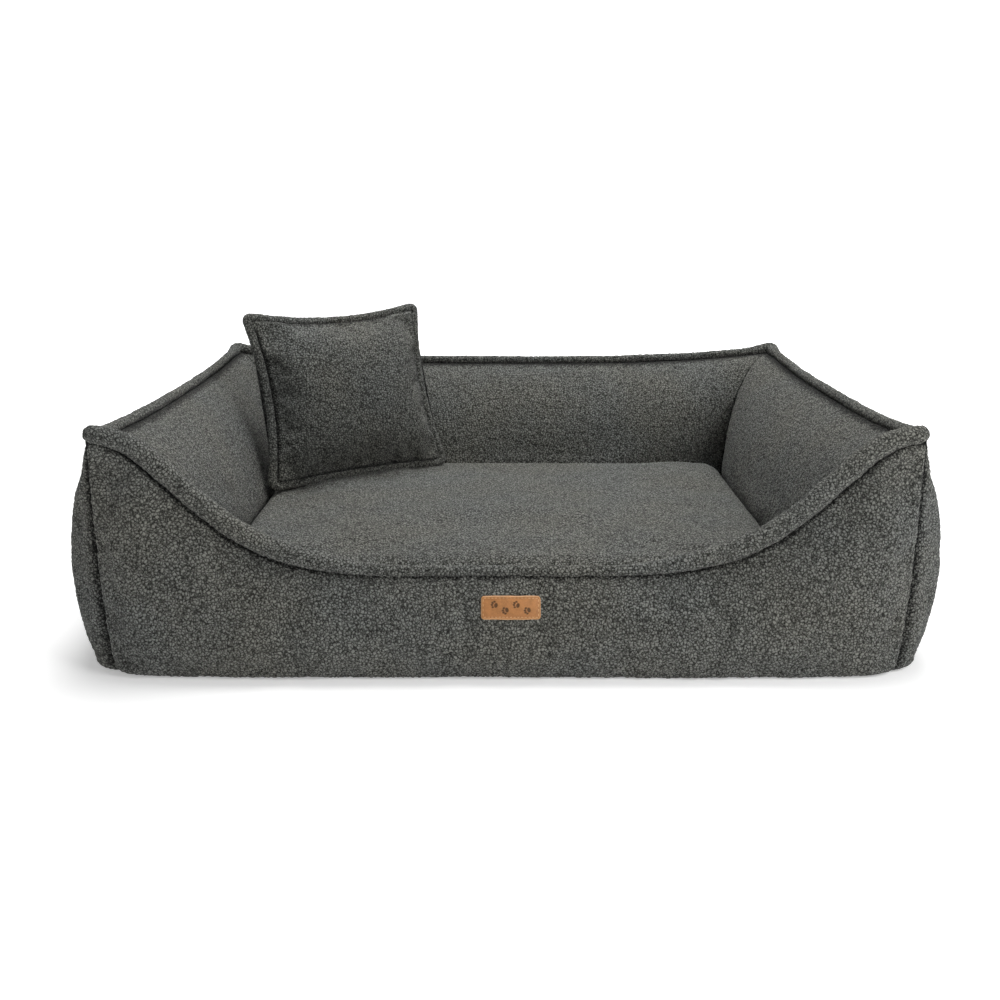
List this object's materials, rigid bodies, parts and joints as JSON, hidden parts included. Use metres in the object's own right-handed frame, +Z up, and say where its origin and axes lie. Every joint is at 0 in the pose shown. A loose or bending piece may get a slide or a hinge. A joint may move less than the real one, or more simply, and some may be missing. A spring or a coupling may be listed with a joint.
{
  "type": "dog bed",
  "caption": "Rectangular stuffed dog bed with padded walls on all sides, a dipped front, a lift-out mattress and a loose corner cushion, covered in dark boucle.",
  "frame": {"origin": "at floor level in the middle of the bed's outline", "axes": "+X to the right, +Y to the back, +Z up; the low front wall faces -Y"},
  "size_m": [0.9288, 0.7055, 0.3292],
  "materials": {
    "boucle": "curly boucle pile, dark warm grey, matt",
    "lining": "plain woven polyester lining, matt",
    "foam": "open-cell upholstery foam, matt",
    "fibre": "loose white polyester fibre",
    "zip_tape": "woven zip tape",
    "zip_coil": "moulded nylon coil",
    "zip_metal": "gunmetal lacquer, satin",
    "label_leather": "tan leather with paler rubbed edges",
    "label_thread": "waxed sewing thread"
  },
  "bodies": {
    "surround": {"front_outer_panel": "boucle", "back_outer_panel": "boucle", "left_outer_panel": "boucle", "right_outer_panel": "boucle", "back_lower_strip": "boucle", "front_inner_panel": "boucle", "back_inner_panel": "boucle", "left_inner_panel": "boucle", "right_inner_panel": "boucle", "front_piping": "boucle", "back_piping": "boucle", "left_piping": "boucle", "right_piping": "boucle", "base_panel": "lining", "floor_panel": "lining", "front_board": "foam", "back_board": "foam", "left_board": "foam", "right_board": "foam", "front_fill": "fibre", "back_fill": "fibre", "left_fill": "fibre", "right_fill": "fibre", "front_wadding": "fibre", "back_wadding": "fibre", "left_wadding": "fibre", "right_wadding": "fibre", "wall_zip_tape": "zip_tape", "wall_zip_coil": "zip_coil", "label_patch": "label_leather", "label_stitches": "label_thread"},
    "mattress": {"mattress_top_cover": "boucle", "mattress_base_cover": "lining", "mattress_foam": "foam", "mattress_zip_tape": "zip_tape", "mattress_zip_coil": "zip_coil"},
    "cushion": {"cushion_front_cover": "boucle", "cushion_back_cover": "boucle", "cushion_fill": "fibre", "cushion_piping": "boucle"},
    "wall_slider": {"wall_zip_slider": "zip_metal"},
    "wall_pull": {"wall_zip_pull": "zip_metal"},
    "mattress_slider": {"mattress_zip_slider": "zip_metal"}
  },
  "joints": [
    {"name": "mattress_lift", "type": "slide", "parent": "surround", "child": "mattress", "axis": [0, 0, 1], "range_m": [0, 0.3]},
    {"name": "cushion_lift", "type": "slide", "parent": "mattress", "child": "cushion", "axis": [0, 0, 1], "range_m": [0, 0.22]},
    {"name": "wall_zip_run", "type": "slide", "parent": "surround", "child": "wall_slider", "axis": [-1, 0, 0], "range_m": [0, 0.52]},
    {"name": "wall_pull_turn", "type": "hinge", "parent": "wall_slider", "child": "wall_pull", "pos_m": [0.27, 0.35118, 0.032], "axis": [0, 0, -1], "range_deg": [0, 170]},
    {"name": "mattress_zip_run", "type": "slide", "parent": "mattress", "child": "mattress_slider", "axis": [-1, 0, 0], "range_m": [0, 0.4]}
  ]
}
